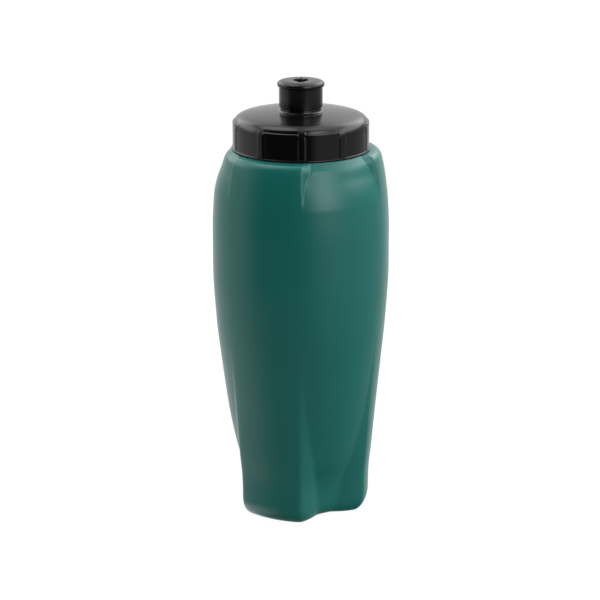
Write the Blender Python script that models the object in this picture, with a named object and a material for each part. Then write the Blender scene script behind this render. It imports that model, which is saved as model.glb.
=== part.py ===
"""Sports squeeze bottle: blow-moulded body, screw cap, push-pull spout and cap seal.

The body stands on z = 0 with its axis on Z. Three lobes face 0, 120 and 240 degrees, and the three
flutes between them are centred on 60, 180 and 300 degrees. Sizes are in millimetres and angles in
degrees, and points are scaled to metres where the meshes are made.
"""
from math import ceil, cos, pi, radians, sin

import bmesh
import bpy
import numpy as np

MM = 0.001
SHARP_ANGLE = 35.0         # edges that bend more than this are shaded sharp
TURNED_SEGMENTS = 48
CLEARANCE = 0.3            # gap between pieces that touch on the real bottle

# Bottle body: lobe outline as (height, radius), from the floor to the ledge under the cap.
LOBE_OUTLINE = [
    (0.0, 28.85), (8.0, 28.76), (16.0, 28.94), (28.0, 30.1), (45.0, 31.66), (65.0, 33.62),
    (85.0, 35.46), (105.0, 36.50), (122.0, 36.47), (136.0, 35.78), (140.0, 35.32), (144.0, 34.8),
    (148.0, 34.1), (150.0, 33.68), (151.6, 33.28), (152.7, 32.88), (153.5, 32.35), (154.1, 31.7),
    (154.5, 30.9), (154.7, 30.0), (154.8, 28.6),
]
# How far each flute lies inside the lobes: deep at the foot, none at the waist, some at the shoulder.
FLUTE_DEPTH = [
    (0.0, 7.0), (6.0, 7.3), (12.0, 6.6), (18.0, 5.2), (23.0, 3.8), (28.0, 2.85), (45.0, 1.08),
    (65.0, 0.31), (80.0, 0.0), (136.0, 0.0), (140.0, 0.25), (144.0, 0.9), (148.0, 1.75), (150.5, 2.0),
    (152.0, 2.25), (152.8, 2.6), (153.5, 2.75), (154.1, 2.6), (154.5, 2.1), (154.7, 1.3), (154.8, 0.2),
]
LOBE_HALF = 28.2           # half the angle of a lobe, between its two ridges
FLUTE_HALF = 60.0 - LOBE_HALF
LOBE_TURN = [(0.0, -0.4), (75.0, -0.4), (136.0, 0.6), (154.8, 0.6)]
LOBE_FLATNESS = [(0.0, 1.0), (20.0, 0.8), (60.0, 0.0), (154.8, 0.0)]
# Angle of the strip beside a ridge: a flute's flank at the foot, a V-shaped notch at the shoulder.
FLANK_EDGE = [(0.0, 20.5), (13.0, 16.6), (28.0, 10.8), (38.0, 7.3), (48.0, 4.5), (57.0, 2.5), (72.0, 0.5)]
NOTCH_EDGE = [(138.0, 0.5), (142.7, 2.1), (147.5, 3.7), (149.7, 5.2), (151.4, 7.4), (154.8, 8.8)]
NOTCH_DEPTH = 0.45
NOTCH_FADE = 5.0           # height over which a notch reaches its depth
NOTCH_WALL = 0.75          # width of a notch's side walls
NOTCH_ROUNDING = 0.3       # rounding at their ends, as a share of their width
NARROWEST_STRIP = 1.3
RIDGE_ROUNDING = [(0.0, 1.5), (30.0, 1.1), (60.0, 0.8), (136.0, 0.4), (154.8, 0.4)]
CREASE_ROUNDING = [(0.0, 2.6), (30.0, 1.3), (60.0, 0.8), (136.0, 0.5), (154.8, 0.5)]
FOOT_FILLET_WIDTH = 5.0
FOOT_FILLET_HEIGHT = 8.0
FOOT_FILLET_STEPS = 6
INSIDE_FILLET_STEPS = 4
PUSH_UP = 2.5              # height of the hollow under the base
PUSH_UP_RINGS = [(6.0, 2.3), (12.5, 0.6)]   # (radius, height) of the rings between its centre and its edge
STANDING_RADIUS = 14.5     # inner edge of the flat ring that the bottle stands on
WALL = 1.3
LEDGE_HEIGHT = 154.8       # flat step between shoulder and neck
NECK_OUTER = 24.9
NECK_INNER = 23.6
NECK_TOP = 164.9
NECK_CHAMFER = 0.3
SHOULDER_INSIDE = [(146.0, 31.5), (149.0, 29.3), (151.0, 27.3), (152.4, 25.2), (153.0, NECK_INNER)]
BODY_ROWS = (
    FOOT_FILLET_HEIGHT, 12.0, 16.0, 20.0, 24.0, 28.0, 34.0, 40.0, 48.0, 57.0, 66.0, 76.0, 86.0, 96.0,
    105.0, 114.0, 122.0, 130.0, 136.0, 140.0, 143.0, 146.0, 148.0, 149.7, 151.0, 152.0, 152.8, 153.5,
    154.1, 154.5, 154.7, LEDGE_HEIGHT,
)
INSIDE_ROWS = (136.0, 122.0, 105.0, 86.0, 66.0, 48.0, 34.0, 24.0, 16.0, FOOT_FILLET_HEIGHT)

# Thread of the neck and of the cap: one right-hand start.
THREAD_PITCH = 4.2
THREAD_BASE = 1.9          # axial width at the wall
THREAD_CREST = 0.9         # axial width at the top of the ridge
THREAD_ROOTED = 0.25       # how deep the ridge is sunk in its wall
THREAD_LEAST = 0.1         # height of the ridge's ends above its root
THREAD_STEPS = 36          # steps in a turn
THREAD_FADE = 3.0          # steps over which the ridge rises at each end
NECK_THREAD_RADIUS = 26.3
NECK_THREAD_START = 157.9
NECK_THREAD_TURNS = 1.25
CAP_THREAD_RADIUS = 25.4
CAP_THREAD_TURNS = 1.0
CAP_THREAD_BELOW = 1.6     # the cap's ridge pulls up against the underside of the neck's ridge

# Screw cap: skirt with plain panels, sunken pads and ribs, under a shallow dome.
CAP_RIM = 155.1            # lower edge of the skirt
CAP_RIM_RADIUS = 28.4
CAP_RIM_HEIGHT = 0.55
CAP_RIM_CHAMFER = 0.15
CAP_INNER = 26.7
CAP_CEILING = 166.6
CAP_PLAIN = 28.08
CAP_RIB = 28.3
CAP_PAD = 27.98
CAP_TURN = -1.5            # angle of the front rib from -Y
RIB_PITCH = 36.0
RIB_HALF = 2.4
RIB_SIDE = 0.8             # angle of a rib's sloping side
RIB_FADE = (167.6, 165.0)  # heights between which a rib rises out of the dome
PADS = (0, 2, 4, 5, 7, 9)
PAD_TOP = 166.45
PAD_LEDGE_HEIGHT = 0.5
PAD_STEP = 0.18
PAD_STEP_FADE = (167.65, 166.75)
CAP_DOME = [  # (height, radius)
    (155.8, CAP_PLAIN), (163.2, CAP_PLAIN), (164.4, 28.0), (165.3, 27.83), (166.1, 27.57), (166.9, 27.17),
    (167.6, 26.6), (168.2, 25.8), (168.62, 24.9), (168.93, 23.8), (169.17, 22.6), (169.42, 21.0),
]
CAP_CROWN = [(170.28, 11.0), (170.02, 15.0), (169.68, 18.8)]
SKIRT_ROWS = (155.8, 160.0, 163.2, 164.4, 165.3, 165.95, 166.2, 166.4, PAD_TOP, 166.9)
COLLAR_RADIUS = 8.45
COLLAR_FOOT = 170.36
COLLAR_TOP = 172.0
PLUG_OUTER = 23.2          # sealing ring that enters the neck
PLUG_INNER = 22.2
PLUG_END = 163.2
PLUG_CHAMFER = (0.4, 0.8)

# Valve post on the cap, inside the spout.
POST_RADIUS = 6.7
POST_BORE = 5.4
POST_TOP = 179.4
POST_STOP_RADIUS = 7.3     # ring that keeps the spout from coming off
POST_STOP_HEIGHT = 1.1
POST_CHAMFER = 0.4
PIN_RADIUS = 1.65
PIN_TOP = 183.8
PIN_CHAMFER = 0.2
PIN_HOLLOW = 0.9           # radius of the hollow in the pin's end
PIN_HOLLOW_DEPTH = 1.2
PIN_BOSS = 2.4
PIN_SEGMENTS = 24
PIN_FOOT_HEIGHT = 0.5
SPIDER_ARMS = 3
SPIDER_WIDTH = 1.8
SPIDER_THICKNESS = 1.2
SPIDER_OVERLAP = 0.6       # how far an arm runs into the post's wall
SPIDER_SUNK = (0.1, 0.15)  # how far an arm's lower and upper faces lie inside the boss's

# Push-pull spout.
SPOUT_FOOT = 172.3
SPOUT_WAIST = 8.92
SPOUT_LIP = 9.7
SPOUT_TOP = 183.05
SPOUT_NECK_TOP = 180.35    # height where the lip starts
SPOUT_LIP_OUTLINE = [      # (radius, height)
    (SPOUT_LIP - 0.25, 180.6), (SPOUT_LIP - 0.03, 181.15), (SPOUT_LIP, 181.5), (SPOUT_LIP - 0.1, 181.92),
    (SPOUT_LIP - 0.4, 182.32), (SPOUT_LIP - 1.0, 182.68), (7.6, 182.92), (6.4, 183.02), (5.2, SPOUT_TOP),
]
SPOUT_BORE = 7.65
SPOUT_CEILING = 180.2
SPOUT_CEILING_CHAMFER = 0.5
SPOUT_ORIFICE = 1.95
SPOUT_MOUTH = 3.15         # shallow recess round the orifice
SPOUT_MOUTH_DEPTH = 1.3
BEAD_RADIUS = 7.02         # inner bead that meets the post's stop ring
BEAD_TOP = 173.0
BEAD_CHAMFER = 0.3

# Seal between the neck's rim and the cap's ceiling.
SEAL_INNER = 23.5
SEAL_OUTER = 26.3
SEAL_BOTTOM = NECK_TOP + CLEARANCE
SEAL_TOP = CAP_CEILING - CLEARANCE
SEAL_CHAMFER = 0.2

TEAL = (0.0118, 0.18, 0.154, 1.0)
CAP_BLACK = (0.004, 0.004, 0.0043, 1.0)
SPOUT_BLACK = (0.005, 0.005, 0.0052, 1.0)
SEAL_WHITE = (0.62, 0.62, 0.60, 1.0)


def smooth_through(points, x):
    """Monotone cubic through (x, y) points."""
    xs, ys = np.array(points).T
    step = np.diff(xs)
    slope = np.diff(ys) / step
    tangent = np.zeros(len(xs))
    tangent[0] = slope[0]
    tangent[-1] = slope[-1]
    for i in range(1, len(xs) - 1):
        if slope[i - 1] * slope[i] > 0.0:
            tangent[i] = 2.0 / (1.0 / slope[i - 1] + 1.0 / slope[i])
    i = int(np.clip(np.searchsorted(xs, x) - 1, 0, len(step) - 1))
    t = min(max((x - xs[i]) / step[i], 0.0), 1.0)
    start = (1.0 + 2.0 * t) * (1.0 - t) ** 2 * ys[i] + t * (1.0 - t) ** 2 * step[i] * tangent[i]
    end = t * t * (3.0 - 2.0 * t) * ys[i + 1] - t * t * (1.0 - t) * step[i] * tangent[i + 1]
    return float(start + end)


def smooth_step(x, start, end):
    """0 at start, 1 at end, smooth between."""
    t = min(1.0, max(0.0, (x - start) / (end - start)))
    return t * t * (3.0 - 2.0 * t)


def soft_ramp(x, low, high):
    """0 below x = 0, 1 above x = 1, with roundings of the given size at each end."""
    return (np.sqrt(x * x + low * low) - np.sqrt((x - 1.0) ** 2 + high * high) + 1.0) / 2.0


def plastic(name, colour, roughness):
    material = bpy.data.materials.new(name)
    material.use_nodes = True
    shader = material.node_tree.nodes["Principled BSDF"]
    shader.inputs["Base Color"].default_value = colour
    shader.inputs["Roughness"].default_value = roughness
    shader.inputs["Metallic"].default_value = 0.0
    return material


def make_object(name, points, faces, material=None, height=0.0, parent=None):
    """Object from points in millimetres, with its origin on the axis at the given height."""
    mesh = bpy.data.meshes.new(name)
    moved = [(x * MM, y * MM, (z - height) * MM) for x, y, z in points]
    mesh.from_pydata(moved, [], faces)
    build = bmesh.new()
    build.from_mesh(mesh)
    bmesh.ops.recalc_face_normals(build, faces=build.faces)
    build.to_mesh(mesh)
    build.free()
    mesh.shade_smooth()
    mesh.set_sharp_from_angle(angle=radians(SHARP_ANGLE))
    thing = bpy.data.objects.new(name, mesh)
    thing.location.z = height * MM
    bpy.context.scene.collection.objects.link(thing)
    if material:
        mesh.materials.append(material)
    thing.parent = parent
    return thing


def polar(angle, radius, height):
    return (radius * cos(radians(angle)), radius * sin(radians(angle)), height)


def join_rings(rings, closed):
    """Quads between rings of equal length; closed joins the last ring to the first."""
    count = len(rings[0])
    faces = []
    pairs = len(rings) if closed else len(rings) - 1
    for row in range(pairs):
        low = row * count
        high = ((row + 1) % len(rings)) * count
        for i in range(count):
            j = (i + 1) % count
            faces.append((low + i, low + j, high + j, high + i))
    points = [point for ring in rings for point in ring]
    return points, faces


def round_rings(outline, segments):
    """One ring of points for each (radius, height) of an outline."""
    step = 360.0 / segments
    return [[polar(i * step, radius, z) for i in range(segments)] for radius, z in outline]


def turned(name, outline, material, height, parent):
    """Ring-shaped piece: a closed outline of (radius, height) turned about Z."""
    points, faces = join_rings(round_rings(outline, TURNED_SEGMENTS), closed=True)
    return make_object(name, points, faces, material, height, parent)


def unite(target, other):
    """Add the second object's solid to the first and remove the second object."""
    modifier = target.modifiers.new("union", "BOOLEAN")
    modifier.object = other
    modifier.operation = "UNION"
    modifier.solver = "EXACT"
    depsgraph = bpy.context.evaluated_depsgraph_get()
    mesh = bpy.data.meshes.new_from_object(target.evaluated_get(depsgraph))
    target.modifiers.clear()
    target.data = mesh
    bpy.data.objects.remove(other)


def thread_ridge(name, wall_radius, crest_radius, start, turns, height, parent):
    """Helical ridge whose ends run out into the wall."""
    steps = ceil(turns * THREAD_STEPS)
    outward = 1.0 if crest_radius > wall_radius else -1.0
    root = wall_radius - outward * THREAD_ROOTED
    least = root + outward * THREAD_LEAST
    rings = []
    for i in range(steps + 1):
        angle = 360.0 * turns * i / steps
        z = start + THREAD_PITCH * angle / 360.0
        fade = min(1.0, i / THREAD_FADE, (steps - i) / THREAD_FADE)
        crest = least + (crest_radius - least) * fade
        rings.append([
            polar(angle, root, z - THREAD_BASE / 2.0), polar(angle, crest, z - THREAD_CREST / 2.0),
            polar(angle, crest, z + THREAD_CREST / 2.0), polar(angle, root, z + THREAD_BASE / 2.0),
        ])
    points, faces = join_rings(rings, closed=False)
    sides = len(rings[0])
    faces.append(tuple(range(sides)))
    faces.append(tuple(range(len(points) - sides, len(points))))
    return make_object(name, points, faces, None, height, parent)


def strip_angle(z):
    """Angle from a lobe's ridge to the crease beside it."""
    return max(smooth_through(FLANK_EDGE, z), smooth_through(NOTCH_EDGE, z), NARROWEST_STRIP)


def body_columns(z):
    """(angles, angles past the nearest ridge) of the columns of points; positive ones are in a flute."""
    strip = strip_angle(z)
    on_lobe = -LOBE_HALF * np.array([1.0, 0.75, 0.5, 0.25, 0.08])
    on_strip = strip * np.array([0.0, 0.12, 0.35, 0.65, 0.88, 1.0])
    beyond = strip + (FLUTE_HALF - strip) * np.array([0.12, 0.35, 0.65, 1.0])
    half = np.concatenate([on_lobe, on_strip, beyond])
    back = half[-2:0:-1]
    turn = smooth_through(LOBE_TURN, z)
    angles = []
    for centre in (0.0, 120.0, 240.0):
        angles += [centre + turn + LOBE_HALF + half, centre + turn + 120.0 - LOBE_HALF - back]
    return np.concatenate(angles), np.concatenate([half, back] * 3)


def body_radius(past_ridge, z):
    """Outer radius of the body at each column."""
    lobe = smooth_through(LOBE_OUTLINE, z)
    strip = strip_angle(z)
    width = lobe * radians(strip)
    ridge = smooth_through(RIDGE_ROUNDING, z) / width
    crease = smooth_through(CREASE_ROUNDING, z) / width
    share = soft_ramp(past_ridge / strip, ridge, crease)
    across = np.clip(1.0 + past_ridge / LOBE_HALF, 0.0, 1.0)
    flat = smooth_through(LOBE_FLATNESS, z) * across * across
    radius = lobe + flat - (smooth_through(FLUTE_DEPTH, z) + flat) * share
    notch_tip = NOTCH_EDGE[0][0]
    if z > notch_tip:
        opened = min(1.0, (z - notch_tip) / NOTCH_FADE)
        side = NOTCH_WALL / width
        x = past_ridge / strip
        near_wall = soft_ramp(x / side, NOTCH_ROUNDING, NOTCH_ROUNDING)
        far_wall = soft_ramp((1.0 - x) / side, NOTCH_ROUNDING, NOTCH_ROUNDING)
        radius = radius - NOTCH_DEPTH * opened * near_wall * far_wall
    return radius


def body_ring(z, inset=0.0, lift=0.0):
    angles, past_ridge = body_columns(z)
    radii = body_radius(past_ridge, z) - inset
    return [polar(angle, radius, z + lift) for angle, radius in zip(angles, radii)]


def round_ring(radius, z, columns_at):
    angles, _ = body_columns(columns_at)
    return [polar(angle, radius, z) for angle in angles]


def fillet_rows(width, height, steps):
    """(height, inset) of the rows of an elliptical foot."""
    turns = [pi / 2.0 * i / steps for i in range(steps)]
    return [(height * (1.0 - cos(t)), width * (1.0 - sin(t))) for t in turns]


def make_bottle_body(material, parent):
    rings = [round_ring(radius, z, 0.0) for radius, z in PUSH_UP_RINGS]
    rings.append(round_ring(STANDING_RADIUS, 0.0, 0.0))
    for z, inset in fillet_rows(FOOT_FILLET_WIDTH, FOOT_FILLET_HEIGHT, FOOT_FILLET_STEPS):
        rings.append(body_ring(z, inset))
    for z in BODY_ROWS:
        rings.append(body_ring(z))
    rings.append(round_ring(NECK_OUTER, LEDGE_HEIGHT, LEDGE_HEIGHT))
    rings.append(round_ring(NECK_OUTER, NECK_TOP - NECK_CHAMFER, LEDGE_HEIGHT))
    rings.append(round_ring(NECK_OUTER - NECK_CHAMFER, NECK_TOP, LEDGE_HEIGHT))
    rings.append(round_ring(NECK_INNER, NECK_TOP, LEDGE_HEIGHT))
    for z, radius in SHOULDER_INSIDE[::-1]:
        rings.append(round_ring(radius, z, z))
    for z in INSIDE_ROWS:
        rings.append(body_ring(z, WALL))
    inside_fillet = fillet_rows(FOOT_FILLET_WIDTH - WALL, FOOT_FILLET_HEIGHT - WALL, INSIDE_FILLET_STEPS)
    for z, inset in inside_fillet[::-1]:
        rings.append(body_ring(z, WALL + inset, lift=WALL))
    rings.append(round_ring(STANDING_RADIUS, WALL, 0.0))
    middle_radius, middle_height = PUSH_UP_RINGS[0]
    rings.append(round_ring(middle_radius, middle_height + WALL, 0.0))
    points, faces = join_rings(rings, closed=False)
    count = len(rings[0])
    under = len(points)
    last = under - count
    points += [(0.0, 0.0, PUSH_UP), (0.0, 0.0, PUSH_UP + WALL)]
    for i in range(count):
        j = (i + 1) % count
        faces.append((under, j, i))
        faces.append((under + 1, last + i, last + j))
    body = make_object("bottle_body", points, faces, material, 0.0, parent)
    ridge = thread_ridge("neck_ridge", NECK_OUTER, NECK_THREAD_RADIUS, NECK_THREAD_START,
                         NECK_THREAD_TURNS, 0.0, parent)
    unite(body, ridge)
    return body


def cap_columns():
    """(angle, share of rib, share of pad) of each column round the cap."""
    edge = RIB_HALF + RIB_SIDE
    span = RIB_PITCH - 2.0 * edge
    offsets = [-edge, -RIB_HALF, 0.0, RIB_HALF, edge] + [edge + span * part for part in (0.25, 0.5, 0.75)]
    columns = []
    for panel in range(10):
        start = -90.0 + CAP_TURN + panel * RIB_PITCH
        for offset in offsets:
            beside = panel if offset > 0.0 else (panel - 1) % 10
            rib = 1.0 if abs(offset) <= RIB_HALF else 0.0
            pad = 1.0 if beside in PADS else 0.0
            columns.append((start + offset, rib, pad))
    return columns


def skirt_radius(z, rib, pad):
    """Radius of the cap's skirt: plain stretches, pads with a ledge on top, and ribs between them."""
    plain = smooth_through(CAP_DOME, z)
    ledge = PAD_TOP - PAD_LEDGE_HEIGHT
    if z <= ledge:
        padded = CAP_PAD
    elif z < PAD_TOP:
        inner = smooth_through(CAP_DOME, PAD_TOP) - PAD_STEP
        padded = inner + (CAP_PAD - inner) * (1.0 - ((z - ledge) / PAD_LEDGE_HEIGHT) ** 2) ** 0.5
    else:
        padded = plain - PAD_STEP * smooth_step(z, *PAD_STEP_FADE)
    surface = plain + (padded - plain) * pad * (1.0 - rib)
    return surface + (CAP_RIB - CAP_PLAIN) * rib * smooth_step(z, *RIB_FADE)


def make_screw_cap(material, parent):
    columns = cap_columns()
    rings = []

    def plain(radius, z):
        rings.append([polar(angle, radius, z) for angle, _, _ in columns])

    rim_top = CAP_RIM + CAP_RIM_HEIGHT
    plain(CAP_INNER, CAP_RIM)
    plain(CAP_RIM_RADIUS - CAP_RIM_CHAMFER, CAP_RIM)
    plain(CAP_RIM_RADIUS, CAP_RIM + CAP_RIM_CHAMFER)
    plain(CAP_RIM_RADIUS, rim_top - CAP_RIM_CHAMFER)
    plain(CAP_RIM_RADIUS - CAP_RIM_CHAMFER, rim_top)
    dome_rows = tuple(z for z, _ in CAP_DOME if z > SKIRT_ROWS[-1])
    for z in SKIRT_ROWS + dome_rows:
        rings.append([polar(angle, skirt_radius(z, rib, pad), z) for angle, rib, pad in columns])
    for z, radius in CAP_CROWN[::-1]:
        plain(radius, z)
    plain(COLLAR_RADIUS, COLLAR_FOOT)
    plain(COLLAR_RADIUS, COLLAR_TOP)
    plain(POST_RADIUS, COLLAR_TOP)
    stop = POST_TOP - POST_STOP_HEIGHT
    plain(POST_RADIUS, stop)
    plain(POST_STOP_RADIUS, stop)
    plain(POST_STOP_RADIUS, POST_TOP - POST_CHAMFER)
    plain(POST_STOP_RADIUS - POST_CHAMFER, POST_TOP)
    plain(POST_BORE, POST_TOP)
    plain(POST_BORE, CAP_CEILING)
    plain(PLUG_INNER, CAP_CEILING)
    plain(PLUG_INNER, PLUG_END)
    plain(PLUG_OUTER - PLUG_CHAMFER[0], PLUG_END)
    plain(PLUG_OUTER, PLUG_END + PLUG_CHAMFER[1])
    plain(PLUG_OUTER, CAP_CEILING)
    plain(CAP_INNER, CAP_CEILING)
    points, faces = join_rings(rings, closed=True)
    cap = make_object("screw_cap", points, faces, material, CAP_RIM, parent)
    ridge = thread_ridge("cap_ridge", CAP_INNER, CAP_THREAD_RADIUS, NECK_THREAD_START - CAP_THREAD_BELOW,
                         CAP_THREAD_TURNS, CAP_RIM, parent)
    unite(cap, ridge)
    unite(cap, make_valve_pin(parent))
    return cap


def make_valve_pin(parent):
    """Pin that plugs the spout, on a boss held by arms across the post's bore."""
    bottom = POST_TOP - SPIDER_THICKNESS
    outline = [
        (PIN_BOSS, bottom), (PIN_BOSS, POST_TOP), (PIN_RADIUS, POST_TOP + PIN_FOOT_HEIGHT),
        (PIN_RADIUS, PIN_TOP - PIN_CHAMFER), (PIN_RADIUS - PIN_CHAMFER, PIN_TOP), (PIN_HOLLOW, PIN_TOP),
        (PIN_HOLLOW - PIN_CHAMFER, PIN_TOP - PIN_HOLLOW_DEPTH),
    ]
    points, faces = join_rings(round_rings(outline, PIN_SEGMENTS), closed=False)
    faces.append(tuple(range(PIN_SEGMENTS)))
    faces.append(tuple(range(len(points) - PIN_SEGMENTS, len(points))))
    pin = make_object("valve_pin", points, faces, None, CAP_RIM, parent)
    for arm in range(SPIDER_ARMS):
        unite(pin, make_spider_arm(arm * 360.0 / SPIDER_ARMS, bottom, parent))
    return pin


def make_spider_arm(angle, bottom, parent):
    side = SPIDER_WIDTH / 2.0
    near = PIN_BOSS / 2.0
    far = POST_BORE + SPIDER_OVERLAP
    low = bottom + SPIDER_SUNK[0]
    top = POST_TOP - SPIDER_SUNK[1]
    corners = [(near, -side), (far, -side), (far, side), (near, side)]
    turn = radians(angle)
    flat = [(x * cos(turn) - y * sin(turn), x * sin(turn) + y * cos(turn)) for x, y in corners]
    points = [(x, y, low) for x, y in flat] + [(x, y, top) for x, y in flat]
    faces = [(3, 2, 1, 0), (4, 5, 6, 7)] + [(i, (i + 1) % 4, (i + 1) % 4 + 4, i + 4) for i in range(4)]
    return make_object("spider_arm", points, faces, None, CAP_RIM, parent)


def make_pull_spout(material, parent):
    mouth_floor = SPOUT_TOP - SPOUT_MOUTH_DEPTH
    outside = [(BEAD_RADIUS, SPOUT_FOOT), (SPOUT_WAIST, SPOUT_FOOT), (SPOUT_WAIST, SPOUT_NECK_TOP)]
    mouth = [
        (SPOUT_MOUTH, SPOUT_TOP), (SPOUT_MOUTH, mouth_floor), (SPOUT_ORIFICE, mouth_floor),
        (SPOUT_ORIFICE, SPOUT_CEILING),
    ]
    inside = [
        (SPOUT_BORE - SPOUT_CEILING_CHAMFER, SPOUT_CEILING), (SPOUT_BORE, SPOUT_CEILING - SPOUT_CEILING_CHAMFER),
        (SPOUT_BORE, BEAD_TOP + BEAD_CHAMFER), (BEAD_RADIUS, BEAD_TOP),
    ]
    outline = outside + SPOUT_LIP_OUTLINE + mouth + inside
    return turned("pull_spout", outline, material, SPOUT_FOOT, parent)


def make_seal_ring(material, parent):
    edge = SEAL_CHAMFER
    outline = [
        (SEAL_INNER, SEAL_BOTTOM + edge), (SEAL_INNER + edge, SEAL_BOTTOM), (SEAL_OUTER - edge, SEAL_BOTTOM),
        (SEAL_OUTER, SEAL_BOTTOM + edge), (SEAL_OUTER, SEAL_TOP - edge), (SEAL_OUTER - edge, SEAL_TOP),
        (SEAL_INNER + edge, SEAL_TOP), (SEAL_INNER, SEAL_TOP - edge),
    ]
    return turned("seal_ring", outline, material, SEAL_BOTTOM, parent)


def clear_scene():
    for thing in list(bpy.data.objects):
        bpy.data.objects.remove(thing, do_unlink=True)


def main():
    clear_scene()
    origin = bpy.data.objects.new("bottle_origin", None)
    bpy.context.scene.collection.objects.link(origin)
    make_bottle_body(plastic("teal_polyethylene", TEAL, 0.29), origin)
    make_seal_ring(plastic("seal_elastomer", SEAL_WHITE, 0.55), origin)
    make_screw_cap(plastic("black_polypropylene", CAP_BLACK, 0.15), origin)
    make_pull_spout(plastic("black_polyethylene", SPOUT_BLACK, 0.25), origin)


main()
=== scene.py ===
"""Looks of the sports squeeze bottle: finer meshes and plastics on the CAD frame.

Sizes are in millimetres unless a name or comment says otherwise, and are scaled to metres where meshes
are made. Angles are in degrees. The bottle's axis is Z, its lobes face 0, 120 and 240 degrees, and its
flutes 60, 180 and 300 degrees.
"""

from math import cos, pi, radians, sin

import bmesh
import bpy
import numpy as np
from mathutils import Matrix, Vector

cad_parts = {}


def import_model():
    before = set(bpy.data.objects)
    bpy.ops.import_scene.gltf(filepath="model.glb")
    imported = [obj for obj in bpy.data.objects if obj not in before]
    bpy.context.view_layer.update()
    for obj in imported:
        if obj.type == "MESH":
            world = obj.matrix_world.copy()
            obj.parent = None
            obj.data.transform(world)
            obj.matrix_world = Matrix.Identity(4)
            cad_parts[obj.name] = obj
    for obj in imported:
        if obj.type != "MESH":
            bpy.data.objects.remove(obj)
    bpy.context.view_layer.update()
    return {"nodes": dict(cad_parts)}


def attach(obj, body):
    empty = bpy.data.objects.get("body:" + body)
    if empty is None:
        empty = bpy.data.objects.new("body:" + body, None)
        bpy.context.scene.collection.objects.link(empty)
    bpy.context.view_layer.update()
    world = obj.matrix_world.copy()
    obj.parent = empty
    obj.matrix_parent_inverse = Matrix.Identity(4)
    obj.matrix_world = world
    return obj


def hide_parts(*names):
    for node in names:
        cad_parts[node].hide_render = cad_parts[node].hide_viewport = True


MM = 0.001
SHARP_ANGLE = 50.0          # edges that bend more than this are shaded sharp
MERGE_DISTANCE = 1e-7       # in metres
QUARTER_TURN = (0.0, pi / 6.0, pi / 3.0, pi / 2.0)  # radians, for rounded edges

# Camera: position and aim in metres from the bottle's base, lens in millimetres on a 36 mm sensor.
CAMERA_PLACE = (-0.03185, -0.8850, 0.3558)
CAMERA_AIM = (-0.00035, 0.0, 0.0897)
CAMERA_LENS = 132.66
CAMERA_SENSOR = 36.0

# Studio. Directions are in degrees, round from the camera's side (positive to the right) or above the
# horizon, and each pair or four are the edges that brightness rises or falls between.
DARK_SIDE = 0.010
RIGHT_WALL = 0.345
RIGHT_WALL_EDGE = (12.0, 30.0)
LEFT_WALL = 0.60
LEFT_WALL_EDGE = (60.0, 82.0)
BACK_WALL = 0.85
BACK_WALL_EDGE = (0.3, 0.95)  # as the Y of a direction one long, not in degrees
CEILING = 0.68
CEILING_EDGE = (50.0, 80.0)
TABLE_FRONT = 0.215
TABLE_SIDE = 0.85
TABLE_MIDDLE = 30.0
TABLE_FRONT_EDGE = (60.0, 165.0)
TABLE_UNDER = 0.35
TABLE_UNDER_EDGE = (-62.0, -35.0)
HORIZON_EDGE = (-26.0, -14.0)
SOFTBOXES = [               # (brightness, edges round, edges above the horizon)
    (2.65, (8.0, 22.0, 32.0, 66.0), (-10.0, 12.0, 40.0, 55.0)),
    (2.6, (48.0, 88.0, 147.0, 178.0), (8.0, 24.0, 41.0, 55.0)),
    (1.2, (40.0, 80.0, 160.0, 179.0), (46.0, 58.0, 80.0, 88.0)),
    (1.7, (-178.0, -150.0, -104.0, -78.0), (4.0, 20.0, 34.0, 50.0)),
    (1.7, (-179.0, -160.0, -75.0, -40.0), (46.0, 58.0, 80.0, 88.0)),
    (0.9, (-178.0, -150.0, -75.0, -50.0), (-60.0, -50.0, -38.0, -30.0)),
]
FLOOR_GLOW = 0.97
FLOOR_TONE = 0.05
FLOOR_RADIUS = 3.0          # in metres
FLOOR_SEGMENTS = 96
FLOOR_DROP = 0.0002         # in metres, so that the floor isn't in the base's plane

# Plastics. A plastic's tone and gloss change a little from place to place.
TONE_CHANGE = 0.06          # share of the colour, lighter or darker
GLOSS_CHANGE = 0.05         # roughness, more or less
CHANGES_PER_METRE = 35.0
CHANGES_DETAIL = 2.0
GRAIN_DETAIL = 3.0

# Bottle body, as (height, radius) of a lobe and (height, depth) of a flute.
LOBE_OUTLINE = [
    (0.0, 28.85), (8.0, 28.76), (16.0, 28.94), (28.0, 30.1), (45.0, 31.66), (65.0, 33.62),
    (85.0, 35.46), (105.0, 36.50), (122.0, 36.47), (136.0, 35.78), (140.0, 35.32), (144.0, 34.8),
    (148.0, 34.1), (150.0, 33.68), (151.6, 33.28), (152.7, 32.88), (153.5, 32.35), (154.1, 31.7),
    (154.5, 30.9), (154.7, 30.0), (154.8, 28.6),
]
FLUTE_DEPTH = [
    (0.0, 7.0), (6.0, 7.3), (12.0, 6.6), (18.0, 5.2), (23.0, 3.8), (28.0, 2.85), (45.0, 1.08),
    (65.0, 0.31), (80.0, 0.0), (136.0, 0.0), (140.0, 0.25), (144.0, 0.9), (148.0, 1.75), (150.5, 2.0),
    (152.0, 2.25), (152.8, 2.6), (153.5, 2.75), (154.1, 2.6), (154.5, 2.1), (154.7, 1.3), (154.8, 0.2),
]
LOBE_HALF = 28.2            # half the angle of a lobe, between its two ridges
FLUTE_HALF = 60.0 - LOBE_HALF
LOBE_TURN = [(0.0, -0.4), (75.0, -0.4), (136.0, 0.6), (154.8, 0.6)]
LOBE_FLATNESS = [(0.0, 1.0), (20.0, 0.8), (60.0, 0.0), (154.8, 0.0)]
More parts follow.
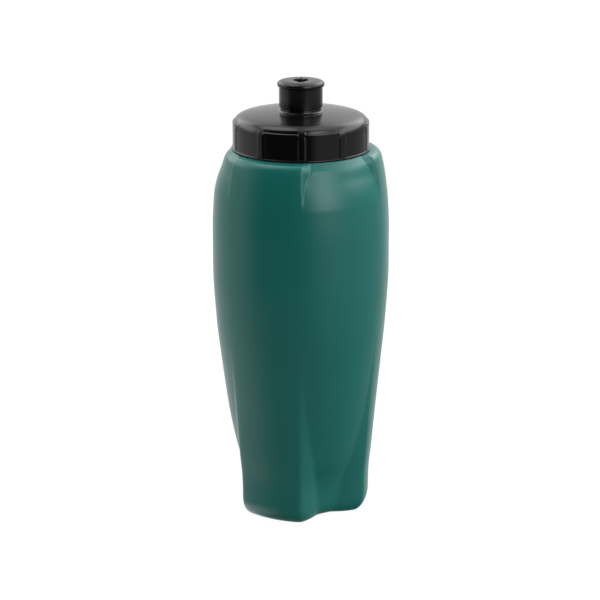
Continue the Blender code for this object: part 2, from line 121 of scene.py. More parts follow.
# Angle of the strip beside a ridge: a flute's flank at the foot, a V-shaped notch at the shoulder.
FLANK_EDGE = [(0.0, 20.5), (13.0, 16.6), (28.0, 10.8), (38.0, 7.3), (48.0, 4.5), (57.0, 2.5), (72.0, 0.5)]
NOTCH_EDGE = [(138.0, 0.5), (142.7, 2.1), (147.5, 3.7), (149.7, 5.2), (151.4, 7.4), (154.8, 8.8)]
NOTCH_DEPTH = 0.45
NOTCH_FADE = 5.0            # height over which a notch reaches its depth
NOTCH_WALL = 0.75           # width of a notch's side walls
NOTCH_ROUNDING = 0.3        # rounding at their ends, as a share of their width
NARROWEST_STRIP = 1.3
RIDGE_ROUNDING = [(0.0, 1.5), (30.0, 1.1), (60.0, 0.8), (136.0, 0.4), (154.8, 0.4)]
CREASE_ROUNDING = [(0.0, 2.6), (30.0, 1.3), (60.0, 0.8), (136.0, 0.5), (154.8, 0.5)]
FOOT_FILLET_WIDTH = 5.0
FOOT_FILLET_HEIGHT = 8.0
FOOT_FILLET_STEPS = 12
INSIDE_FILLET_STEPS = 5
PUSH_UP = 2.5               # height of the hollow under the base
PUSH_UP_CURVE = 2.2
PUSH_UP_EDGE = 1.0          # width of the hollow's rounded edge
PUSH_UP_EDGE_HEIGHT = 0.45
INSIDE_DOME_RING = (7.25, 3.3)  # (radius, height) of the ring between the floor's middle and edge
STANDING_RADIUS = 14.5      # inner edge of the flat ring that the bottle stands on
WALL = 1.3
LEDGE_HEIGHT = 154.8        # step between shoulder and neck
LEDGE_RISE = 0.15
NECK_INNER = 23.6
NECK_OUTER = 24.9
NECK_TOP = 164.9
NECK_THREAD_TOP = 164.4
NECK_FOOT_FILLET = 0.4
NECK_OUTER_ROUNDING = 0.4
NECK_INNER_ROUNDING = 0.3
SHOULDER_INSIDE = [(146.0, 31.5), (149.0, 29.3), (151.0, 27.3), (152.4, 25.2), (153.0, NECK_INNER)]
INSIDE_TOP = 140.0          # the inside follows the outside up to this height

# Where the body's points lie: shares of the way across a lobe's half, the strip, the flute's half, the
# hollow under the base, the hollow's edge and the ledge, and the step between rows from each height up.
LOBE_COLUMNS = (1.0, 0.86, 0.7, 0.54, 0.39, 0.27, 0.18, 0.12, 0.08, 0.053, 0.033, 0.02, 0.01)
STRIP_COLUMNS = (0.0, 0.03, 0.07, 0.13, 0.22, 0.35, 0.5, 0.65, 0.78, 0.87, 0.93, 0.97, 1.0)
FLUTE_COLUMNS = (0.03, 0.07, 0.13, 0.22, 0.35, 0.5, 0.66, 0.83, 1.0)
PUSH_UP_ROWS = (0.15, 0.35, 0.55, 0.72, 0.86)
PUSH_UP_EDGE_ROWS = (0.0, 0.3, 0.6, 0.85, 1.0)
LEDGE_ROWS = (0.5, 0.85)
BODY_STEPS = [
    (FOOT_FILLET_HEIGHT, 1.2), (45.0, 2.0), (80.0, 2.6), (134.0, 0.8), (150.0, 0.3), (151.6, 0.15),
    (153.6, 0.06),
]
INSIDE_STEP = 4.0
THREAD_STEP = 0.24

# Thread of the neck and of the cap: one right-hand start.
THREAD_PITCH = 4.2
THREAD_BASE = 1.9           # axial width at the wall
THREAD_CREST = 0.9          # axial width at the top of the ridge
THREAD_FADE = 25.0          # angle over which the ridge rises at each end
NECK_THREAD_RADIUS = 26.3
NECK_THREAD_START = 157.9
NECK_THREAD_TURNS = 1.25
CAP_THREAD_RADIUS = 25.4
CAP_THREAD_TURNS = 1.0
CAP_THREAD_BELOW = 1.6      # the cap's ridge pulls up against the underside of the neck's ridge
CAP_THREAD_TOP = 161.8
CAP_WALL_FOOT = 161.9       # the cap's inner wall is plain from here up

# Screw cap: skirt with plain panels, sunken pads and ribs, under a shallow dome.
CAP_RIM = 155.1             # lower edge of the skirt
CAP_RIM_RADIUS = 28.4
CAP_RIM_HEIGHT = 0.55
CAP_RIM_ROUNDING = 0.2
CAP_MOUTH = 0.4             # height of the plain stretch below the thread
CAP_INNER = 26.7
CAP_CEILING = 166.6
CAP_PLAIN = 28.08
CAP_RIB = 28.3
CAP_PAD = 27.98
CAP_TURN = -1.5             # angle of the front rib from -Y
PANELS = 10
RIB_PITCH = 360.0 / PANELS
RIB_HALF = 2.4
RIB_SIDE = 0.8              # angle of a rib's sloping side
RIB_EDGE = RIB_HALF + RIB_SIDE
RIB_COLUMNS = (0.0, 1.0, 2.0, RIB_HALF, 2.64, 2.88, RIB_EDGE)  # angles from a rib's middle
PANEL_COLUMNS = (0.04, 0.12, 0.25, 0.4, 0.55, 0.7, 0.83, 0.93, 0.98)  # shares of the way from rib to rib
RIB_FADE = (167.6, 165.0)   # heights between which a rib rises out of the dome
PADS = (0, 2, 4, 5, 7, 9)
PAD_TOP = 166.45
PAD_LEDGE_HEIGHT = 0.5
PAD_LEDGE = PAD_TOP - PAD_LEDGE_HEIGHT
PAD_STEP = 0.18
PAD_STEP_FADE = (167.65, 166.75)
CAP_DOME = [                # (height, radius)
    (155.8, CAP_PLAIN), (163.2, CAP_PLAIN), (164.4, 28.0), (165.3, 27.83), (166.1, 27.57), (166.9, 27.17),
    (167.6, 26.6), (168.2, 25.8), (168.62, 24.9), (168.93, 23.8), (169.17, 22.6), (169.42, 21.0),
]
CAP_CROWN = [               # (radius, height)
    (8.6, 170.36), (11.0, 170.28), (15.0, 170.02), (18.8, 169.68), (21.0, 169.42),
]
CROWN_ROWS = (20.0, 18.8, 17.5, 16.0, 14.5, 13.0, 11.5, 10.4)
SKIRT_STEPS = [(155.77, 0.5), (PAD_LEDGE, 0.05), (PAD_TOP, 0.13)]  # as in BODY_STEPS
COLLAR_RADIUS = 8.45
COLLAR_FOOT = 170.4
COLLAR_TOP = 172.0
PLUG_OUTER = 23.2           # sealing ring that enters the neck
PLUG_INNER = 22.2
PLUG_END = 163.2

# Valve post on the cap, inside the spout, with a pin that closes the spout's orifice.
POST_RADIUS = 6.7
POST_BORE = 5.4
POST_TOP = 179.4
POST_STOP_RADIUS = 7.3      # ring that keeps the spout from coming off
POST_STOP = POST_TOP - 1.1
PIN_RADIUS = 1.65
PIN_TOP = 183.8
PIN_FOOT_HEIGHT = 0.5
PIN_HOLLOW = 0.9            # radius of the hollow in the pin's end
PIN_HOLLOW_TAPER = 0.3
PIN_HOLLOW_DEPTH = 1.2
PIN_BOSS = 2.4
PIN_SEGMENTS = 48
SPIDER_ARMS = 3
SPIDER_WIDTH = 1.8
SPIDER_FOOT = POST_TOP - 1.2
SPIDER_IN_BOSS = 0.8        # how far an arm runs into the boss
SPIDER_IN_POST = 0.6        # how far it runs into the post's wall
SPIDER_SUNK = (0.1, 0.15)   # how far its lower and upper faces lie inside the boss's
SPIDER_BEVEL = 0.2
SPIDER_BEVEL_STEPS = 3

# Push-pull spout.
SPOUT_FOOT = 172.3
SPOUT_WAIST = 8.92
SPOUT_LIP = 9.7
SPOUT_LIP_FOOT = 180.35
SPOUT_LIP_UNDER = (SPOUT_LIP - 0.25, 180.6)  # (radius, height) where the lip's underside turns up
SPOUT_TOP = 183.05
LIP_OUTLINE = [             # (radius, height)
    (SPOUT_LIP - 0.03, 181.15), (SPOUT_LIP, 181.5), (SPOUT_LIP - 0.1, 181.92), (SPOUT_LIP - 0.4, 182.32),
    (SPOUT_LIP - 1.0, 182.68), (7.6, 182.92), (6.4, 183.02), (5.2, SPOUT_TOP),
]
SPOUT_BORE = 7.65
SPOUT_CEILING = 180.2
SPOUT_ORIFICE = 1.95
SPOUT_MOUTH = 3.15          # shallow recess round the orifice
SPOUT_MOUTH_DIP = 0.04
SPOUT_MOUTH_FLOOR = SPOUT_TOP - 1.3
SPOUT_SEGMENTS = 144
BEAD_RADIUS = 7.02          # inner bead that meets the post's stop ring
BEAD_FOOT = 172.5
BEAD_TOP = 173.0
BEAD_SLOPE = 0.3            # height of the slope from the bead to the bore


# ---------------------------------------------------------------- outlines

def smooth_through(points, x):
    """Monotone cubic through (x, y) points."""
    xs, ys = np.array(points).T
    step = np.diff(xs)
    slope = np.diff(ys) / step
    tangent = np.zeros(len(xs))
    tangent[0] = slope[0]
    tangent[-1] = slope[-1]
    for i in range(1, len(xs) - 1):
        if slope[i - 1] * slope[i] > 0.0:
            tangent[i] = 2.0 / (1.0 / slope[i - 1] + 1.0 / slope[i])
    i = int(np.clip(np.searchsorted(xs, x) - 1, 0, len(step) - 1))
    t = min(max((x - xs[i]) / step[i], 0.0), 1.0)
    start = (1.0 + 2.0 * t) * (1.0 - t) ** 2 * ys[i] + t * (1.0 - t) ** 2 * step[i] * tangent[i]
    end = t * t * (3.0 - 2.0 * t) * ys[i + 1] - t * t * (1.0 - t) * step[i] * tangent[i + 1]
    return float(start + end)


def smooth_step(x, start, end):
    """0 at start, 1 at end, smooth between."""
    t = min(1.0, max(0.0, (x - start) / (end - start)))
    return t * t * (3.0 - 2.0 * t)


def soft_ramp(x, low, high):
    """0 below x = 0, 1 above x = 1, with roundings of the given size at each end."""
    return (np.sqrt(x * x + low * low) - np.sqrt((x - 1.0) ** 2 + high * high) + 1.0) / 2.0


def rounded(corners, steps=6):
    """Outline from (radius, height, fillet) corners, each corner replaced by an arc-like curve."""
    outline = []
    count = len(corners)
    for i, (r, z, fillet) in enumerate(corners):
        here = np.array([r, z])
        if fillet <= 0.0:
            outline.append((r, z))
            continue
        before = np.array(corners[i - 1][:2]) - here
        after = np.array(corners[(i + 1) % count][:2]) - here
        a = before / np.linalg.norm(before)
        b = after / np.linalg.norm(after)
        half = np.arccos(np.clip(a @ b, -1.0, 1.0)) / 2.0
        reach = min(fillet / np.tan(half), 0.49 * np.linalg.norm(before), 0.49 * np.linalg.norm(after))
        radius = reach * np.tan(half)
        middle = (a + b) / np.linalg.norm(a + b)
        centre = here + middle * radius / np.sin(half)
        start = here + a * reach - centre
        end = here + b * reach - centre
        sweep = pi - 2.0 * half
        for k in range(steps + 1):
            t = sweep * k / steps
            point = centre + (start * sin(sweep - t) + end * sin(t)) / sin(sweep)
            outline.append(tuple(point))
    return outline


def spaced(start, end, step):
    """Heights from start up to but not including end."""
    count = max(1, int(round((end - start) / step)))
    return [start + (end - start) * i / count for i in range(count)]


def graded(stretches, end):
    """Heights up to but not including end, from the (height, step) that each stretch starts with."""
    ends = [height for height, _ in stretches[1:]] + [end]
    heights = []
    for (start, step), stop in zip(stretches, ends):
        heights += spaced(start, stop, step)
    return heights


# ---------------------------------------------------------------- meshes

def make_object(name, points, faces, material):
    mesh = bpy.data.meshes.new(name)
    mesh.from_pydata((np.array(points) * MM).tolist(), [], faces)
    build = bmesh.new()
    build.from_mesh(mesh)
    bmesh.ops.remove_doubles(build, verts=build.verts, dist=MERGE_DISTANCE)
    bmesh.ops.recalc_face_normals(build, faces=build.faces)
    build.to_mesh(mesh)
    build.free()
    mesh.materials.append(material)
    mesh.shade_smooth()
    mesh.set_sharp_from_angle(angle=radians(SHARP_ANGLE))
    thing = bpy.data.objects.new(name, mesh)
    bpy.context.scene.collection.objects.link(thing)
    return thing


def ring(angles, radii, z):
    a = np.radians(angles)
    return np.stack([radii * np.cos(a), radii * np.sin(a), np.full(len(a), z)], axis=1)


def round_ring(angles, radius, z):
    return ring(angles, np.full(len(angles), float(radius)), z)


def join_rings(rings, closed):
    """Quads between rings of equal length; closed joins the last ring to the first."""
    count = len(rings[0])
    faces = []
    pairs = len(rings) if closed else len(rings) - 1
    for row in range(pairs):
        low = row * count
        high = ((row + 1) % len(rings)) * count
        for i in range(count):
            j = (i + 1) % count
            faces.append((low + i, low + j, high + j, high + i))
    return np.concatenate(rings), faces


def join_and_cap(rings, first_z, last_z):
    """Quads between rings, and fans from the first and last ring to points on the axis."""
    points, faces = join_rings(rings, closed=False)
    count = len(rings[0])
    last = len(points) - count
    pole = len(points)
    points = np.concatenate([points, [(0.0, 0.0, first_z), (0.0, 0.0, last_z)]])
    for i in range(count):
        j = (i + 1) % count
        faces.append((pole, j, i))
        faces.append((pole + 1, last + i, last + j))
    return points, faces


def even_angles(segments):
    return np.arange(segments) * 360.0 / segments


# ---------------------------------------------------------------- threads

def thread_radii(angles, z, wall, crest, start, turns):
    """Radii of a threaded wall: a trapezoid ridge on a right-hand helix that fades at both ends."""
    radii = np.full(len(angles), float(wall))
    for turn in range(int(turns) + 2):
        along = np.mod(angles, 360.0) + 360.0 * turn
        offset = np.abs(z - start - THREAD_PITCH * along / 360.0)
        shape = np.clip((THREAD_BASE / 2.0 - offset) / ((THREAD_BASE - THREAD_CREST) / 2.0), 0.0, 1.0)
        fade = np.clip(np.minimum(along, 360.0 * turns - along) / THREAD_FADE, 0.0, 1.0)
        radii = radii + (crest - wall) * shape * fade
    return radii


def neck_radii(angles, z):
    return thread_radii(angles, z, NECK_OUTER, NECK_THREAD_RADIUS, NECK_THREAD_START, NECK_THREAD_TURNS)


def cap_inner_radii(angles, z):
    start = NECK_THREAD_START - CAP_THREAD_BELOW
    return thread_radii(angles, z, CAP_INNER, CAP_THREAD_RADIUS, start, CAP_THREAD_TURNS)


# ---------------------------------------------------------------- bottle body

def strip_angle(z):
    """Angle from a lobe's ridge to the crease beside it."""
    return max(smooth_through(FLANK_EDGE, z), smooth_through(NOTCH_EDGE, z), NARROWEST_STRIP)


def body_columns(z):
    """(angles, angles past the nearest ridge) of the columns of points; positive ones are in a flute."""
    strip = strip_angle(z)
    on_lobe = -LOBE_HALF * np.array(LOBE_COLUMNS)
    on_strip = strip * np.array(STRIP_COLUMNS)
    beyond = strip + (FLUTE_HALF - strip) * np.array(FLUTE_COLUMNS)
    half = np.concatenate([on_lobe, on_strip, beyond])
    back = half[-2:0:-1]
    turn = smooth_through(LOBE_TURN, z)
    angles = []
    for centre in (0.0, 120.0, 240.0):
        angles += [centre + turn + LOBE_HALF + half, centre + turn + 120.0 - LOBE_HALF - back]
    return np.concatenate(angles), np.concatenate([half, back] * 3)


def body_radii(past_ridge, z):
    """Outer radius of the body at each column."""
    lobe = smooth_through(LOBE_OUTLINE, z)
    strip = strip_angle(z)
    width = lobe * radians(strip)
    ridge = smooth_through(RIDGE_ROUNDING, z) / width
    crease = smooth_through(CREASE_ROUNDING, z) / width
    share = soft_ramp(past_ridge / strip, ridge, crease)
    across = np.clip(1.0 + past_ridge / LOBE_HALF, 0.0, 1.0)
    flat = smooth_through(LOBE_FLATNESS, z) * across * across
    radii = lobe + flat - (smooth_through(FLUTE_DEPTH, z) + flat) * share
    notch_tip = NOTCH_EDGE[0][0]
    if z > notch_tip:
        opened = min(1.0, (z - notch_tip) / NOTCH_FADE)
        side = NOTCH_WALL / width
        x = past_ridge / strip
        near_wall = soft_ramp(x / side, NOTCH_ROUNDING, NOTCH_ROUNDING)
        far_wall = soft_ramp((1.0 - x) / side, NOTCH_ROUNDING, NOTCH_ROUNDING)
        radii = radii - NOTCH_DEPTH * opened * near_wall * far_wall
    return radii


def body_ring(z, inset=0.0, lift=0.0):
    angles, past_ridge = body_columns(z)
    return ring(angles, body_radii(past_ridge, z) - inset, z + lift)


def fillet_rows(width, height, steps):
    """(height, inset) of the rows of an elliptical foot."""
    turns = [pi / 2.0 * i / steps for i in range(steps)]
    return [(height * (1.0 - cos(t)), width * (1.0 - sin(t))) for t in turns]


def push_up_rings():
    """Hollow under the base, from near the axis to the flat ring that the bottle stands on."""
    angles, _ = body_columns(0.0)
    inner = STANDING_RADIUS - PUSH_UP_EDGE
    rings = []
    for part in PUSH_UP_ROWS:
        rings.append(round_ring(angles, part * inner, PUSH_UP * (1.0 - part ** PUSH_UP_CURVE)))
    for part in PUSH_UP_EDGE_ROWS:
        rings.append(round_ring(angles, inner + part * PUSH_UP_EDGE, PUSH_UP_EDGE_HEIGHT * (1.0 - part) ** 2))
    return rings


def outer_wall_rings():
    """Foot, waist and shoulder, up to the ledge."""
    foot = fillet_rows(FOOT_FILLET_WIDTH, FOOT_FILLET_HEIGHT, FOOT_FILLET_STEPS)
    rings = [body_ring(z, inset) for z, inset in foot]
    for z in graded(BODY_STEPS, LEDGE_HEIGHT):
        rings.append(body_ring(z))
    rings.append(body_ring(LEDGE_HEIGHT))
    return rings


def neck_rings():
    """Ledge, threaded neck and its rounded rim."""
    angles, past_ridge = body_columns(LEDGE_HEIGHT)
    outer = body_radii(past_ridge, LEDGE_HEIGHT)
    rings = []
    for part in LEDGE_ROWS:
        inward = (NECK_OUTER + NECK_FOOT_FILLET - outer) * part
        rings.append(ring(angles, outer + inward, LEDGE_HEIGHT + LEDGE_RISE * part))
    for z in spaced(LEDGE_HEIGHT + NECK_FOOT_FILLET, NECK_THREAD_TOP, THREAD_STEP):
        rings.append(ring(angles, neck_radii(angles, z), z))
    size = NECK_OUTER_ROUNDING
    for t in QUARTER_TURN:
        rings.append(round_ring(angles, NECK_OUTER - size + size * cos(t), NECK_TOP - size + size * sin(t)))
    size = NECK_INNER_ROUNDING
    for t in (pi / 2.0, pi / 4.0, 0.0):
        rings.append(round_ring(angles, NECK_INNER + size - size * cos(t), NECK_TOP - size + size * sin(t)))
    return rings


def inside_rings():
    """Inside of the wall, from the neck down to the floor."""
    rings = []
    for z, radius in SHOULDER_INSIDE[::-1]:
        angles, _ = body_columns(z)
        rings.append(round_ring(angles, radius, z))
    for z in spaced(FOOT_FILLET_HEIGHT, INSIDE_TOP, INSIDE_STEP)[::-1]:
        rings.append(body_ring(z, WALL))
    foot = fillet_rows(FOOT_FILLET_WIDTH - WALL, FOOT_FILLET_HEIGHT - WALL, INSIDE_FILLET_STEPS)
    for z, inset in foot[::-1]:
        rings.append(body_ring(z + WALL, WALL + inset))
    angles, _ = body_columns(0.0)
    rings.append(round_ring(angles, STANDING_RADIUS, WALL))
    rings.append(round_ring(angles, *INSIDE_DOME_RING))
    return rings


def make_bottle_body(material):
    rings = push_up_rings() + outer_wall_rings() + neck_rings() + inside_rings()
    points, faces = join_and_cap(rings, PUSH_UP, PUSH_UP + WALL)
    return make_object("body_shell", points, faces, material)


# ---------------------------------------------------------------- cap

def cap_columns():
    """(angles, share of rib, share of pad) of the columns round the skirt."""
    half = np.array(RIB_COLUMNS)
    between = RIB_EDGE + (RIB_PITCH - 2.0 * RIB_EDGE) * np.array(PANEL_COLUMNS)
    offsets = np.concatenate([-half[:0:-1], half, between])
    rib_side = np.clip((RIB_EDGE - np.abs(offsets)) / RIB_SIDE, 0.0, 1.0)
    rib = rib_side * rib_side * (3.0 - 2.0 * rib_side)
    angles = []
    pad = []
    for panel in range(PANELS):
        left = (panel - 1) % PANELS in PADS
        right = panel in PADS
        angles.append(-90.0 + CAP_TURN + panel * RIB_PITCH + offsets)
        pad.append(np.where(offsets < 0.0, float(left), float(right)))
    return np.concatenate(angles), np.tile(rib, PANELS), np.concatenate(pad)


def skirt_radii(z, rib, pad):
    """Radii of the cap's skirt: plain stretches, pads with a ledge on top, and ribs between them."""
    plain = smooth_through(CAP_DOME, z)
    if z <= PAD_LEDGE:
        padded = CAP_PAD
    elif z < PAD_TOP:
        inner = smooth_through(CAP_DOME, PAD_TOP) - PAD_STEP
        padded = inner + (CAP_PAD - inner) * (1.0 - ((z - PAD_LEDGE) / PAD_LEDGE_HEIGHT) ** 2) ** 0.5
    else:
        padded = plain - PAD_STEP * smooth_step(z, *PAD_STEP_FADE)
    surface = plain + (padded - plain) * pad * (1.0 - rib)
    return surface + (CAP_RIB - CAP_PLAIN) * rib * smooth_step(z, *RIB_FADE)


def rim_rings(angles):
    """Rounded bead along the skirt's lower edge."""
    size = CAP_RIM_ROUNDING
    radius = CAP_RIM_RADIUS - size
    low = CAP_RIM + size
    high = CAP_RIM + CAP_RIM_HEIGHT - size
    rings = [round_ring(angles, radius + size * sin(t), low - size * cos(t)) for t in QUARTER_TURN]
    return rings + [round_ring(angles, radius + size * cos(t), high + size * sin(t)) for t in QUARTER_TURN]


def post_and_plug():
    """Outline from the collar over the hollow valve post, the ceiling and the sealing plug to the thread."""
    return rounded([
        CAP_CROWN[1] + (0.0,), (COLLAR_RADIUS, COLLAR_FOOT, 0.8), (COLLAR_RADIUS, COLLAR_TOP, 0.12),
        (POST_RADIUS, COLLAR_TOP, 0.2), (POST_RADIUS, POST_STOP, 0.15), (POST_STOP_RADIUS, POST_STOP, 0.15),
        (POST_STOP_RADIUS, POST_TOP, 0.4), (POST_BORE, POST_TOP, 0.2), (POST_BORE, CAP_CEILING, 0.5),
        (PLUG_INNER, CAP_CEILING, 0.4), (PLUG_INNER, PLUG_END, 0.2), (PLUG_OUTER, PLUG_END, 0.5),
        (PLUG_OUTER, CAP_CEILING, 0.1), (CAP_INNER, CAP_CEILING, 0.3), (CAP_INNER, CAP_WALL_FOOT, 0.0),
    ])[1:]


def make_cap(material):
    angles, rib, pad = cap_columns()
    dome_end = CAP_DOME[-1][0]
    rings = rim_rings(angles)
    for z in graded(SKIRT_STEPS, dome_end) + [dome_end]:
        rings.append(ring(angles, skirt_radii(z, rib, pad), z))
    for radius in CROWN_ROWS:
        rings.append(round_ring(angles, radius, smooth_through(CAP_CROWN, radius)))
    for radius, z in post_and_plug():
        rings.append(round_ring(angles, radius, z))
    for z in spaced(CAP_RIM + CAP_MOUTH, CAP_THREAD_TOP, THREAD_STEP)[::-1]:
        rings.append(ring(angles, cap_inner_radii(angles, z), z))
    rings.append(round_ring(angles, CAP_INNER + CAP_RIM_ROUNDING, CAP_RIM))
    points, faces = join_rings(rings, closed=True)
    return make_object("ribbed_cap", points, faces, material)


def make_valve_pin(material):
    hollow_end = PIN_TOP - PIN_HOLLOW_DEPTH
    outline = rounded([
        (0.0, SPIDER_FOOT, 0.0), (PIN_BOSS, SPIDER_FOOT, 0.2), (PIN_BOSS, POST_TOP, 0.3),
        (PIN_RADIUS, POST_TOP + PIN_FOOT_HEIGHT, 0.3), (PIN_RADIUS, PIN_TOP, 0.3), (PIN_HOLLOW, PIN_TOP, 0.2),
        (PIN_HOLLOW - PIN_HOLLOW_TAPER, hollow_end, 0.2), (0.0, hollow_end, 0.0),
    ])
    angles = even_angles(PIN_SEGMENTS)
    rings = [round_ring(angles, radius, z) for radius, z in outline[1:-1]]
    points, faces = join_and_cap(rings, SPIDER_FOOT, hollow_end)
    return make_object("valve_pin", points, faces, material)


def make_spider_arm(number, material):
    """Arm that holds the pin in the post's bore and lets the drink pass beside it."""
    turn = 2.0 * pi * number / SPIDER_ARMS
    side = SPIDER_WIDTH / 2.0
    near = PIN_BOSS - SPIDER_IN_BOSS
    far = POST_BORE + SPIDER_IN_POST
    low = SPIDER_FOOT + SPIDER_SUNK[0]
    high = POST_TOP - SPIDER_SUNK[1]
    corners = [(near, -side), (far, -side), (far, side), (near, side)]
    flat = [(x * cos(turn) - y * sin(turn), x * sin(turn) + y * cos(turn)) for x, y in corners]
    points = [(x, y, low) for x, y in flat] + [(x, y, high) for x, y in flat]
    faces = [(3, 2, 1, 0), (4, 5, 6, 7)] + [(i, (i + 1) % 4, (i + 1) % 4 + 4, i + 4) for i in range(4)]
    arm = make_object(f"spider_arm_{number}", points, faces, material)
    bevel = arm.modifiers.new("soft edges", "BEVEL")
    bevel.width = SPIDER_BEVEL * MM
    bevel.segments = SPIDER_BEVEL_STEPS
    return arm


# ---------------------------------------------------------------- spout

def make_spout(material):
    waist = rounded([
        (BEAD_RADIUS, SPOUT_FOOT, 0.0), (SPOUT_WAIST, SPOUT_FOOT, 0.1), (SPOUT_WAIST, SPOUT_LIP_FOOT, 0.3),
        SPOUT_LIP_UNDER + (0.25,), LIP_OUTLINE[0] + (0.0,),
    ])
    inside = rounded([
        LIP_OUTLINE[-1] + (0.0,), (SPOUT_MOUTH, SPOUT_TOP - SPOUT_MOUTH_DIP, 0.15),
        (SPOUT_MOUTH, SPOUT_MOUTH_FLOOR, 0.2), (SPOUT_ORIFICE, SPOUT_MOUTH_FLOOR, 0.15),
        (SPOUT_ORIFICE, SPOUT_CEILING, 0.2), (SPOUT_BORE, SPOUT_CEILING, 0.5),
        (SPOUT_BORE, BEAD_TOP + BEAD_SLOPE, 0.2), (BEAD_RADIUS, BEAD_TOP, 0.15),
        (BEAD_RADIUS, BEAD_FOOT, 0.0),
    ])
    angles = even_angles(SPOUT_SEGMENTS)
    rings = [round_ring(angles, radius, z) for radius, z in waist + LIP_OUTLINE[1:-1] + inside]
    points, faces = join_rings(rings, closed=True)
    return make_object("push_pull_spout", points, faces, material)


# ---------------------------------------------------------------- materials

def add_noise(tree, scale, detail):
    """Noise on the piece's own coordinates, with the given number of features in a metre."""
    coordinates = tree.nodes.new("ShaderNodeTexCoord")
    noise = tree.nodes.new("ShaderNodeTexNoise")
    noise.inputs["Scale"].default_value = scale
    noise.inputs["Detail"].default_value = detail
    tree.links.new(coordinates.outputs["Object"], noise.inputs["Vector"])
    return noise.outputs["Fac"]


def add_bump(tree, pattern, height, below=None):
    """Bump of the given height, on top of the normal of the bump below it."""
    bump = tree.nodes.new("ShaderNodeBump")
    bump.inputs["Distance"].default_value = height * MM
    bump.inputs["Strength"].default_value = 1.0
    tree.links.new(pattern, bump.inputs["Height"])
    if below:
        tree.links.new(below, bump.inputs["Normal"])
    return bump.outputs["Normal"]


def plastic(name, colour, roughness, grain, grain_size, waviness=0.0):
    """Moulded plastic: fine grain, slight sink marks, and small changes of tone and gloss.

    grain and waviness are heights.
    """
    material = bpy.data.materials.new(name)
    material.use_nodes = True
    tree = material.node_tree
    shader = tree.nodes["Principled BSDF"]
    changes = add_noise(tree, CHANGES_PER_METRE, CHANGES_DETAIL)

    tone = tree.nodes.new("ShaderNodeMix")
    tone.data_type = "RGBA"
    tone.inputs["A"].default_value = [c * (1.0 - TONE_CHANGE) for c in colour] + [1.0]
    tone.inputs["B"].default_value = [c * (1.0 + TONE_CHANGE) for c in colour] + [1.0]
    tree.links.new(changes, tone.inputs["Factor"])
    tree.links.new(tone.outputs["Result"], shader.inputs["Base Color"])

    gloss = tree.nodes.new("ShaderNodeMapRange")
    gloss.inputs["To Min"].default_value = roughness - GLOSS_CHANGE
    gloss.inputs["To Max"].default_value = roughness + GLOSS_CHANGE
    tree.links.new(changes, gloss.inputs["Value"])
    tree.links.new(gloss.outputs["Result"], shader.inputs["Roughness"])

    waves = add_bump(tree, changes, waviness) if waviness else None
    fine = add_noise(tree, 1.0 / (grain_size * MM), GRAIN_DETAIL)
    tree.links.new(add_bump(tree, fine, grain, waves), shader.inputs["Normal"])
    return material


def teal_polyethylene():
    colour = (0.0118, 0.18, 0.154)
    return plastic("teal_polyethylene", colour, roughness=0.29, grain=0.004, grain_size=0.5, waviness=0.05)


def black_polypropylene():
    colour = (0.004, 0.004, 0.0043)
    return plastic("black_polypropylene", colour, roughness=0.15, grain=0.001, grain_size=0.5)


def black_polyethylene():
    colour = (0.005, 0.005, 0.0052)
    return plastic("black_polyethylene", colour, roughness=0.25, grain=0.002, grain_size=0.4)


def seal_elastomer():
    colour = (0.62, 0.62, 0.60)
    return plastic("seal_elastomer", colour, roughness=0.55, grain=0.004, grain_size=0.4)


# ---------------------------------------------------------------- studio

def make_camera():
    data = bpy.data.cameras.new("camera")
    data.lens = CAMERA_LENS
    data.sensor_width = CAMERA_SENSOR
    camera = bpy.data.objects.new("camera", data)
    bpy.context.scene.collection.objects.link(camera)
    camera.location = CAMERA_PLACE
    way = Vector(CAMERA_AIM) - camera.location
    camera.rotation_euler = way.to_track_quat("-Z", "Y").to_euler()
    bpy.context.scene.camera = camera


def add_math(tree, operation, first, second=None):
    """Math node fed by sockets or numbers; returns its output."""
    node = tree.nodes.new("ShaderNodeMath")
    node.operation = operation
    for socket, value in zip(node.inputs, (first, second)):
        if value is None:
            continue
        if isinstance(value, (int, float)):
            socket.default_value = value
        else:
            tree.links.new(value, socket)
    return node.outputs["Value"]


def add_step(tree, value, edges, low=0.0, high=1.0):
    """Smooth step of a socket from low at the first edge to high at the second."""
    node = tree.nodes.new("ShaderNodeMapRange")
    node.interpolation_type = "SMOOTHSTEP"
    node.inputs["From Min"].default_value = edges[0]
    node.inputs["From Max"].default_value = edges[1]
    node.inputs["To Min"].default_value = low
    node.inputs["To Max"].default_value = high
    tree.links.new(value, node.inputs["Value"])
    return node.outputs["Result"]


def add_band(tree, value, edges):
    """1 between the middle two of four edges, falling smoothly to 0 at the outer two."""
    rise = add_step(tree, value, edges[:2])
    fall = add_step(tree, value, edges[2:], 1.0, 0.0)
    return add_math(tree, "MULTIPLY", rise, fall)


def add_walls(tree, azimuth, height, backward):
    """White walls at the left, at the right and behind, and a ceiling; the camera's side is dark."""
    right = add_step(tree, azimuth, RIGHT_WALL_EDGE, DARK_SIDE, RIGHT_WALL)
    to_left = add_math(tree, "MULTIPLY", azimuth, -1.0)
    left = add_step(tree, to_left, LEFT_WALL_EDGE, DARK_SIDE, LEFT_WALL)
    behind = add_step(tree, backward, BACK_WALL_EDGE, 0.0, BACK_WALL)
    above = add_step(tree, height, CEILING_EDGE, 0.0, CEILING)
    light = add_math(tree, "MAXIMUM", right, left)
    light = add_math(tree, "MAXIMUM", light, behind)
    return add_math(tree, "MAXIMUM", light, above)


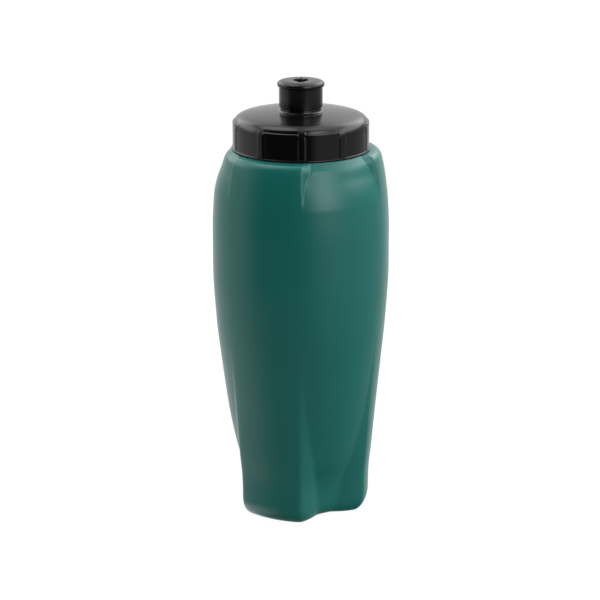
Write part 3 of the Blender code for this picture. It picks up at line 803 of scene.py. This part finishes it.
def add_table(tree, azimuth, height):
    """White table, darker towards the camera and right under the bottle."""
    from_middle = add_math(tree, "ABSOLUTE", add_math(tree, "SUBTRACT", azimuth, TABLE_MIDDLE))
    table = add_step(tree, from_middle, TABLE_FRONT_EDGE, TABLE_FRONT, TABLE_SIDE)
    under = add_step(tree, height, TABLE_UNDER_EDGE, TABLE_UNDER, 1.0)
    return add_math(tree, "MULTIPLY", table, under)


def add_softboxes(tree, light, azimuth, height):
    for brightness, sideways, upright in SOFTBOXES:
        box = add_math(tree, "MULTIPLY", add_band(tree, azimuth, sideways), add_band(tree, height, upright))
        light = add_math(tree, "ADD", light, add_math(tree, "MULTIPLY", box, brightness))
    return light


def make_world():
    """Studio round the bottle, lit by its walls, ceiling, table and softboxes; plain white to the camera."""
    world = bpy.data.worlds.new("studio")
    bpy.context.scene.world = world
    world.use_nodes = True
    tree = world.node_tree
    coordinates = tree.nodes.new("ShaderNodeTexCoord")
    direction = tree.nodes.new("ShaderNodeSeparateXYZ")
    tree.links.new(coordinates.outputs["Generated"], direction.inputs["Vector"])
    forward = add_math(tree, "MULTIPLY", direction.outputs["Y"], -1.0)
    azimuth = add_math(tree, "DEGREES", add_math(tree, "ARCTAN2", direction.outputs["X"], forward))
    height = add_math(tree, "DEGREES", add_math(tree, "ARCSINE", direction.outputs["Z"]))

    mixed = tree.nodes.new("ShaderNodeMix")
    tree.links.new(add_step(tree, height, HORIZON_EDGE, 1.0, 0.0), mixed.inputs["Factor"])
    tree.links.new(add_walls(tree, azimuth, height, direction.outputs["Y"]), mixed.inputs["A"])
    tree.links.new(add_table(tree, azimuth, height), mixed.inputs["B"])
    light = add_softboxes(tree, mixed.outputs["Result"], azimuth, height)

    path = tree.nodes.new("ShaderNodeLightPath")
    shown = add_math(tree, "MAXIMUM", light, path.outputs["Is Camera Ray"])
    background = tree.nodes["Background"]
    tree.links.new(shown, background.inputs["Strength"])
    background.inputs["Color"].default_value = (1.0, 1.0, 1.0, 1.0)


def make_floor():
    """Plain white floor that only the camera sees; the plastics reflect the studio's table instead."""
    mesh = bpy.data.meshes.new("floor")
    build = bmesh.new()
    bmesh.ops.create_circle(build, cap_ends=True, radius=FLOOR_RADIUS, segments=FLOOR_SEGMENTS)
    build.to_mesh(mesh)
    build.free()
    floor = bpy.data.objects.new("floor", mesh)
    bpy.context.scene.collection.objects.link(floor)
    floor.location.z = -FLOOR_DROP
    floor.visible_glossy = False
    floor.visible_diffuse = False
    material = bpy.data.materials.new("pale_floor")
    material.use_nodes = True
    shader = material.node_tree.nodes["Principled BSDF"]
    shader.inputs["Base Color"].default_value = (FLOOR_TONE, FLOOR_TONE, FLOOR_TONE, 1.0)
    shader.inputs["Roughness"].default_value = 1.0
    shader.inputs["Specular IOR Level"].default_value = 0.0
    shader.inputs["Emission Color"].default_value = (1.0, 1.0, 1.0, 1.0)
    shader.inputs["Emission Strength"].default_value = FLOOR_GLOW
    mesh.materials.append(material)


def make_studio():
    make_camera()
    make_world()
    make_floor()
    bpy.context.scene.view_settings.view_transform = "Standard"


# ---------------------------------------------------------------- assembly

def place(piece, body, node=None):
    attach(piece, body)
    if node:
        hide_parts(node)


def main():
    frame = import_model()
    make_studio()

    black = black_polypropylene()
    place(make_bottle_body(teal_polyethylene()), "bottle", "bottle_body")
    place(make_cap(black), "cap", "screw_cap")
    place(make_valve_pin(black), "cap")
    for number in range(SPIDER_ARMS):
        place(make_spider_arm(number, black), "cap")
    place(make_spout(black_polyethylene()), "spout", "pull_spout")
    seal_mesh = frame["nodes"]["seal_ring"].data
    seal_mesh.materials.clear()
    seal_mesh.materials.append(seal_elastomer())


main()
